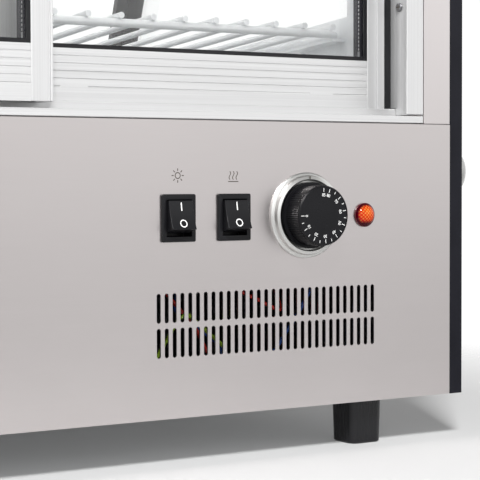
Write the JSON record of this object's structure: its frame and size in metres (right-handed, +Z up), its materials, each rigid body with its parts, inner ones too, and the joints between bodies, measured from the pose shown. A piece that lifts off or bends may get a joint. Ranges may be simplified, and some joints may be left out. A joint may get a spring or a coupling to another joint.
{
  "type": "heated display case",
  "caption": "Countertop heated display case with curved glass, sliding double-glazed doors, sloping wire shelves, thermostat and rocker switches.",
  "frame": {"origin": "centre of the bounding box at the underside of the feet", "axes": "+X across the width, towards the side with the controls; +Y towards the customers' curved glass, so the control panel and doors face -Y; +Z up"},
  "size_m": [0.709, 0.568, 0.688],
  "materials": {
    "black_border": "gloss black edge of the side glazing",
    "clear_glass": "clear float glass",
    "chrome": "polished",
    "black_rubber": "satin",
    "stainless": "brushed",
    "galvanised": "mill finish",
    "white_paint": "gloss white",
    "lamp_white": "frosted, lit",
    "anodised": "bright satin anodised",
    "dark_spacer": "matt black",
    "black_plastic": "moulded",
    "grey_metal": "plain",
    "copper": "drawn",
    "red_lens": "translucent red, lit",
    "white_plastic": "moulded",
    "red_wire": "PVC",
    "blue_wire": "PVC",
    "earth_wire": "PVC",
    "sheath": "heat-stained"
  },
  "bodies": {
    "case": {"base_pan": "galvanised", "cap_bolts": "chrome", "ceiling_pan": "white_paint", "control_panel": "stainless", "cord_gland": "black_plastic", "deck": "galvanised", "deck_grille": "galvanised", "feet_front": "black_rubber", "feet_rear": "black_rubber", "front_glass": "clear_glass", "front_glass_trim": "black_rubber", "front_panel": "stainless", "head_track": "anodised", "heat_switch_housing": "black_plastic", "heater_box": "galvanised", "heating_element": "sheath", "indicator_body": "white_plastic", "indicator_lens": "red_lens", "jambs": "anodised", "lamp_holder": "white_paint", "lamp_tube": "lamp_white", "light_switch_housing": "black_plastic", "pillars": "stainless", "screws": "chrome", "sensor_capillary": "copper", "shelf_1": "chrome", "shelf_2": "chrome", "shelf_3": "chrome", "shelf_arms": "grey_metal", "side_panel_left": "black_border", "side_panel_right": "black_border", "side_panes": "clear_glass", "sill_track": "anodised", "terminal_block": "white_plastic", "thermostat_bezel": "chrome", "thermostat_body": "grey_metal", "top_cover": "stainless", "uprights": "grey_metal", "wire_earth": "earth_wire", "wires_blue": "blue_wire", "wires_red": "red_wire"},
    "door_left": {"door_left_stiles": "anodised", "door_left_rails": "anodised", "door_left_panes": "clear_glass", "door_left_spacer": "dark_spacer", "door_left_seals": "black_rubber"},
    "door_right": {"door_right_stiles": "anodised", "door_right_rails": "anodised", "door_right_panes": "clear_glass", "door_right_spacer": "dark_spacer", "door_right_seals": "black_rubber"},
    "roller_left_1": {"door_left_roller_1": "white_plastic"},
    "roller_left_2": {"door_left_roller_2": "white_plastic"},
    "roller_right_1": {"door_right_roller_1": "white_plastic"},
    "roller_right_2": {"door_right_roller_2": "white_plastic"},
    "knob": {"thermostat_knob": "black_plastic", "thermostat_shaft": "grey_metal"},
    "light_button": {"light_rocker": "black_plastic"},
    "heat_button": {"heat_rocker": "black_plastic"}
  },
  "joints": [
    {"name": "left_door_slide", "type": "slide", "parent": "case", "child": "door_left", "axis": [1, 0, 0], "range_m": [0, 0.276]},
    {"name": "right_door_slide", "type": "slide", "parent": "case", "child": "door_right", "axis": [-1, 0, 0], "range_m": [0, 0.276]},
    {"name": "left_roller_1_spin", "type": "hinge", "parent": "door_left", "child": "roller_left_1", "pos_m": [-0.041, -0.25, 0.2366], "axis": [0, 1, 0], "range_deg": [0, 3200]},
    {"name": "left_roller_2_spin", "type": "hinge", "parent": "door_left", "child": "roller_left_2", "pos_m": [-0.2352, -0.25, 0.2366], "axis": [0, 1, 0], "range_deg": [0, 3200]},
    {"name": "right_roller_1_spin", "type": "hinge", "parent": "door_right", "child": "roller_right_1", "pos_m": [0.041, -0.226, 0.2366], "axis": [0, -1, 0], "range_deg": [0, 3200]},
    {"name": "right_roller_2_spin", "type": "hinge", "parent": "door_right", "child": "roller_right_2", "pos_m": [0.2352, -0.226, 0.2366], "axis": [0, -1, 0], "range_deg": [0, 3200]},
    {"name": "thermostat_turn", "type": "hinge", "parent": "case", "child": "knob", "pos_m": [0.2013, -0.2625, 0.1625], "axis": [0, -1, 0], "range_deg": [0, 270]},
    {"name": "light_rocker_tilt", "type": "hinge", "parent": "case", "child": "light_button", "pos_m": [0.1006, -0.261, 0.162], "axis": [1, 0, 0], "range_deg": [0, 30]},
    {"name": "heat_rocker_tilt", "type": "hinge", "parent": "case", "child": "heat_button", "pos_m": [0.1432, -0.261, 0.162], "axis": [1, 0, 0], "range_deg": [0, 30]}
  ],
  "couplings": [
    {"joint": "left_roller_1_spin", "follows": "left_door_slide", "rad_per_m": 200},
    {"joint": "left_roller_2_spin", "follows": "left_door_slide", "rad_per_m": 200},
    {"joint": "right_roller_1_spin", "follows": "right_door_slide", "rad_per_m": 200},
    {"joint": "right_roller_2_spin", "follows": "right_door_slide", "rad_per_m": 200}
  ]
}
